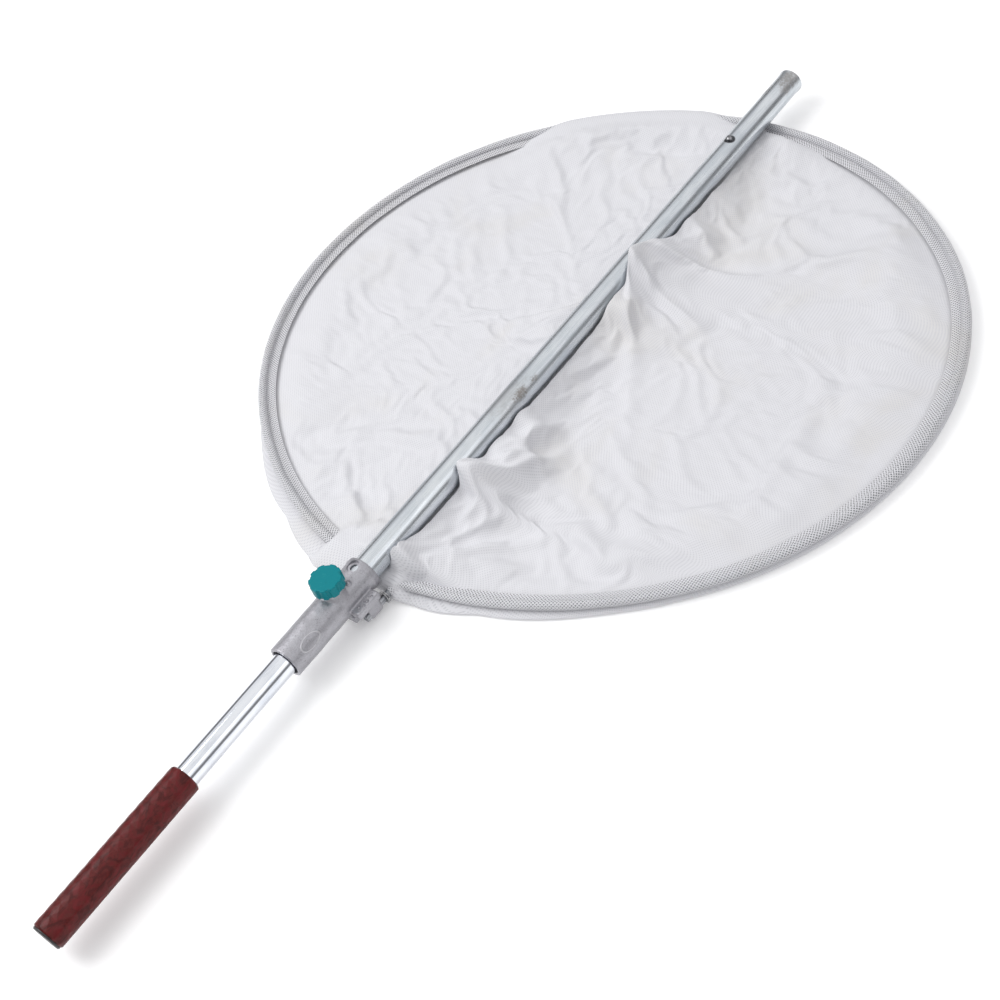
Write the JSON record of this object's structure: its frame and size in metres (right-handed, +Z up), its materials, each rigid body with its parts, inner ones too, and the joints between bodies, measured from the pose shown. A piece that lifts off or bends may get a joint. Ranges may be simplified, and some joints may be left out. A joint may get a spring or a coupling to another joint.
{
  "type": "hand net with sliding head",
  "caption": "Hand net whose round hoop and shallow fabric bag slide along a telescopic pole, held by a clamp knob and a snap button.",
  "frame": {"origin": "on the floor under the middle of the whole object, pole stowed", "axes": "+X along the pole from the grip to its far end, +Z up out of the net's mouth, +Y to the left"},
  "size_m": [1.302, 0.829, 0.075],
  "materials": {
    "zinc_tube": "dull zinc-plated steel",
    "chrome_tube": "bright chrome plate",
    "spring_steel": "bright spring steel",
    "fastener_steel": "zinc-plated steel",
    "grip_plastic": "oxblood moulded grip with a faceted pattern",
    "black_plastic": "matt black plastic",
    "nylon": "natural nylon",
    "cast_aluminium": "rough as-cast aluminium",
    "hoop_aluminium": "drawn aluminium rod",
    "insert_brass": "turned brass",
    "knob_plastic": "teal gloss plastic",
    "net_fabric": "off-white fine mesh fabric",
    "hem_fabric": "off-white woven tape"
  },
  "bodies": {
    "pole": {"outer_tube": "zinc_tube", "mouth_bush": "nylon", "button_spring": "spring_steel"},
    "snap_button": {"snap_button": "fastener_steel"},
    "head": {"head_casting": "cast_aluminium", "thread_insert": "insert_brass", "hoop_rod": "hoop_aluminium", "hoop_lock_pins": "fastener_steel", "tie_wires": "fastener_steel", "hem_sleeve": "hem_fabric", "net_side_band": "net_fabric", "net_floor_panel": "net_fabric"},
    "clamp_pad": {"pressure_pad": "nylon"},
    "clamp_knob": {"knob": "knob_plastic", "clamp_screw": "fastener_steel", "knob_washer": "fastener_steel"},
    "lock": {"lock_expander": "black_plastic", "cone_nut": "fastener_steel"},
    "handle": {"inner_tube": "chrome_tube", "grip": "grip_plastic", "butt_plug": "black_plastic", "spindle_plug": "nylon", "lock_spindle": "fastener_steel"}
  },
  "joints": [
    {"name": "head_slide", "type": "slide", "parent": "pole", "child": "head", "axis": [1, 0, 0], "range_m": [0, 0.716]},
    {"name": "screw_travel", "type": "slide", "parent": "head", "child": "clamp_pad", "axis": [0, 0, 1], "range_m": [0, 0.0025]},
    {"name": "knob_turn", "type": "hinge", "parent": "clamp_pad", "child": "clamp_knob", "pos_m": [-0.239, 0, 0.065], "axis": [0, 0, 1], "range_deg": [0, 720]},
    {"name": "button_press", "type": "slide", "parent": "pole", "child": "snap_button", "axis": [0, 0, -1], "range_m": [0, 0.004], "stiffness_N_per_m": 900, "springref_m": -0.002, "deforming": ["button_spring"]},
    {"name": "handle_slide", "type": "slide", "parent": "pole", "child": "lock", "axis": [-1, 0, 0], "range_m": [0, 0.6]},
    {"name": "handle_twist", "type": "hinge", "parent": "lock", "child": "handle", "pos_m": [0.424, 0, 0.035], "axis": [1, 0, 0], "range_deg": [-360, 0]}
  ],
  "couplings": [
    {"joint": "screw_travel", "follows": "knob_turn", "m_per_rad": 0.00019894}
  ]
}
